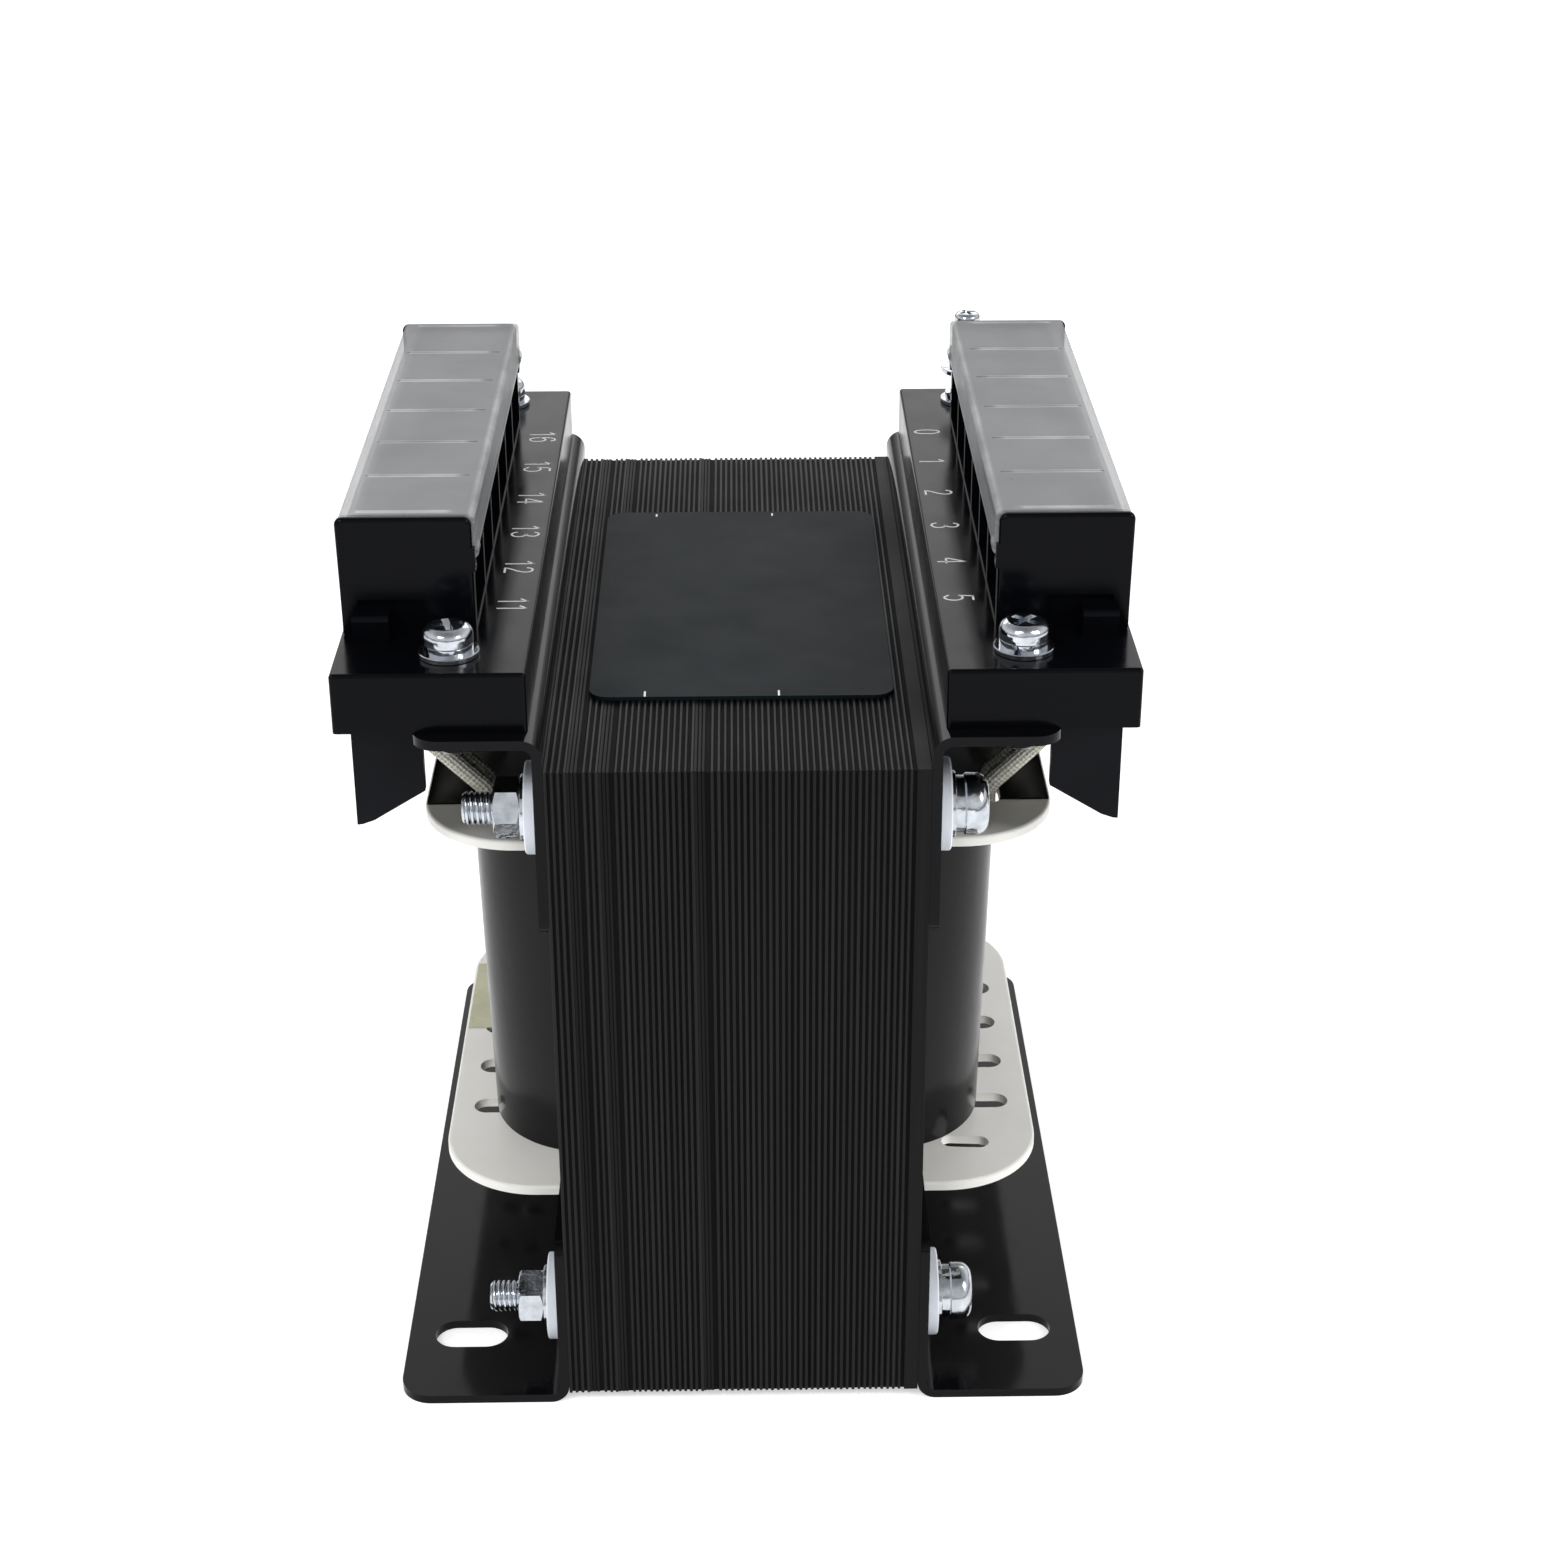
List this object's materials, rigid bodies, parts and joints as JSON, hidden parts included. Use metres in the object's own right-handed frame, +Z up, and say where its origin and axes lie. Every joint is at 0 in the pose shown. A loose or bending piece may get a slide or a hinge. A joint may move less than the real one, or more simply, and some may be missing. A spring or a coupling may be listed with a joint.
{
  "type": "control transformer",
  "caption": "Open-frame control transformer: laminated core on slotted feet, taped coil, terminal blocks with hinged clear covers and a blank rating plate",
  "frame": {"origin": "on the mounting plane under the middle of the four feet", "axes": "+X to the block with the low terminal numbers, +Y to the rear along the terminal blocks, +Z up from the mounting plane"},
  "size_m": [0.116, 0.1332, 0.1448],
  "materials": {
    "core_steel": "satin black lacquer over stacked sheet edges",
    "bobbin_plastic": "cream moulded plastic",
    "copper": "enamelled copper wire",
    "insulation_paper": "insulating paper",
    "wrap_black": "smooth black insulating wrap",
    "bracket_black": "gloss black coat",
    "zinc_steel": "bright blue-white zinc",
    "insulator_white": "pale blue-white plastic",
    "housing_plastic": "glossy black moulding",
    "cover_clear": "frosted clear plastic",
    "terminal_brass": "nickel-washed brass",
    "wire_copper": "tinned copper",
    "sleeve_woven": "woven glass-fibre sleeve, beige",
    "plate_grey": "matt slate grey",
    "tape_yellow": "pale yellow polyester tape"
  },
  "bodies": {
    "root": {"core_e_stack": "core_steel", "core_i_stack": "core_steel", "bobbin": "bobbin_plastic", "primary_winding": "copper", "secondary_winding": "copper", "interwinding_insulation": "insulation_paper", "coil_wrap": "wrap_black", "flange_strip_left": "wrap_black", "flange_strip_right": "wrap_black", "upper_bracket_left": "bracket_black", "upper_bracket_right": "bracket_black", "foot_bracket_left": "bracket_black", "foot_bracket_right": "bracket_black", "housing_nuts": "bracket_black", "through_bolts": "zinc_steel", "through_bolt_nuts": "zinc_steel", "bolt_spring_washers": "zinc_steel", "bolt_flat_washers": "zinc_steel", "housing_screws": "zinc_steel", "earth_screw": "zinc_steel", "earth_spacer": "zinc_steel", "housing_spring_washers": "zinc_steel", "housing_flat_washers": "zinc_steel", "terminal_screws_left": "zinc_steel", "terminal_screws_right": "zinc_steel", "clamp_washers_left": "zinc_steel", "clamp_washers_right": "zinc_steel", "insulating_washers": "insulator_white", "bolt_sleeves": "insulator_white", "terminal_housing_left": "housing_plastic", "terminal_housing_right": "housing_plastic", "terminal_plates_left": "terminal_brass", "terminal_plates_right": "terminal_brass", "lead_wires_left": "wire_copper", "lead_wires_right": "wire_copper", "lead_sleeves_left": "sleeve_woven", "lead_sleeves_right": "sleeve_woven", "nameplate": "plate_grey", "anchor_tape": "tape_yellow"},
    "cover_left": {"terminal_cover_left": "cover_clear"},
    "cover_right": {"terminal_cover_right": "cover_clear"}
  },
  "joints": [
    {"name": "cover_right_hinge", "type": "hinge", "parent": "root", "child": "cover_right", "pos_m": [0.0386, 0, 0.1391], "axis": [0, -1, 0], "range_deg": [0, 120]},
    {"name": "cover_left_hinge", "type": "hinge", "parent": "root", "child": "cover_left", "pos_m": [-0.0386, 0, 0.1391], "axis": [0, 1, 0], "range_deg": [0, 120]}
  ]
}
